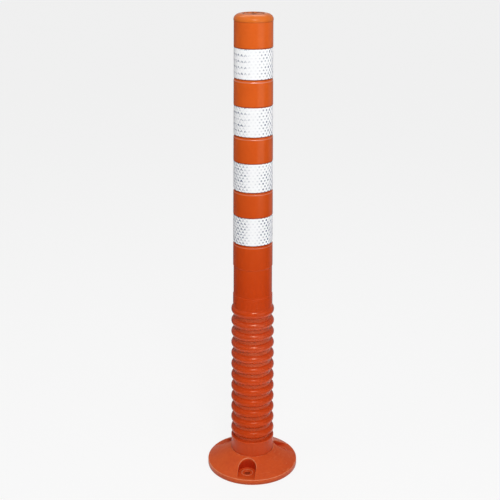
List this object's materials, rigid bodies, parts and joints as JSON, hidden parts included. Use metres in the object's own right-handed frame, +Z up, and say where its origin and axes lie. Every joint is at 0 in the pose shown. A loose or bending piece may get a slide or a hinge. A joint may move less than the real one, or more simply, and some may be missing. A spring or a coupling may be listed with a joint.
{
  "type": "flexible parking post",
  "caption": "Upright flexible post with a coned bolt-down base, a ribbed bending foot, a tapering tube with white reflective bands and a rounded cap.",
  "frame": {"origin": "centre of the base's underside, on the post's axis", "axes": "+Z up the post, -Y towards the viewer of the picture, +X to the viewer's right"},
  "size_m": [0.2, 0.2, 1],
  "materials": {
    "base_orange": "satin",
    "post_orange": "satin",
    "cap_orange": "satin",
    "reflective_white": "gloss"
  },
  "bodies": {
    "base": {"base_flange": "base_orange", "foot_collar": "post_orange"},
    "section_1": {"bellows_fold_1": "post_orange", "bellows_ring_1": "post_orange"},
    "section_2": {"bellows_fold_2": "post_orange", "bellows_ring_2": "post_orange"},
    "section_3": {"bellows_fold_3": "post_orange", "bellows_ring_3": "post_orange"},
    "section_4": {"bellows_fold_4": "post_orange", "bellows_ring_4": "post_orange"},
    "section_5": {"bellows_fold_5": "post_orange", "bellows_ring_5": "post_orange"},
    "post": {"bellows_fold_6": "post_orange", "post_tube": "post_orange", "top_cap": "cap_orange", "reflective_band_1": "reflective_white", "reflective_band_2": "reflective_white", "reflective_band_3": "reflective_white", "reflective_band_4": "reflective_white"}
  },
  "joints": [
    {"name": "front_back_bend_1", "type": "hinge", "parent": "base", "child": "section_1", "pos_m": [0, 0, 0.09031], "axis": [1, 0, 0], "range_deg": [-20, 20], "stiffness_Nm_per_rad": 300, "deforming": ["bellows_fold_1"]},
    {"name": "sideways_bend_1", "type": "hinge", "parent": "section_1", "child": "section_2", "pos_m": [0, 0, 0.14242], "axis": [0, 1, 0], "range_deg": [-20, 20], "stiffness_Nm_per_rad": 300, "deforming": ["bellows_fold_2"]},
    {"name": "front_back_bend_2", "type": "hinge", "parent": "section_2", "child": "section_3", "pos_m": [0, 0, 0.19454], "axis": [1, 0, 0], "range_deg": [-20, 20], "stiffness_Nm_per_rad": 300, "deforming": ["bellows_fold_3"]},
    {"name": "sideways_bend_2", "type": "hinge", "parent": "section_3", "child": "section_4", "pos_m": [0, 0, 0.24666], "axis": [0, 1, 0], "range_deg": [-20, 20], "stiffness_Nm_per_rad": 300, "deforming": ["bellows_fold_4"]},
    {"name": "front_back_bend_3", "type": "hinge", "parent": "section_4", "child": "section_5", "pos_m": [0, 0, 0.29878], "axis": [1, 0, 0], "range_deg": [-20, 20], "stiffness_Nm_per_rad": 300, "deforming": ["bellows_fold_5"]},
    {"name": "sideways_bend_3", "type": "hinge", "parent": "section_5", "child": "post", "pos_m": [0, 0, 0.35089], "axis": [0, 1, 0], "range_deg": [-20, 20], "stiffness_Nm_per_rad": 300, "deforming": ["bellows_fold_6"]}
  ],
  "couplings": [
    {"joint": "front_back_bend_2", "follows": "front_back_bend_1", "ratio": 1},
    {"joint": "sideways_bend_2", "follows": "sideways_bend_1", "ratio": 1},
    {"joint": "front_back_bend_3", "follows": "front_back_bend_1", "ratio": 1},
    {"joint": "sideways_bend_3", "follows": "sideways_bend_1", "ratio": 1}
  ]
}
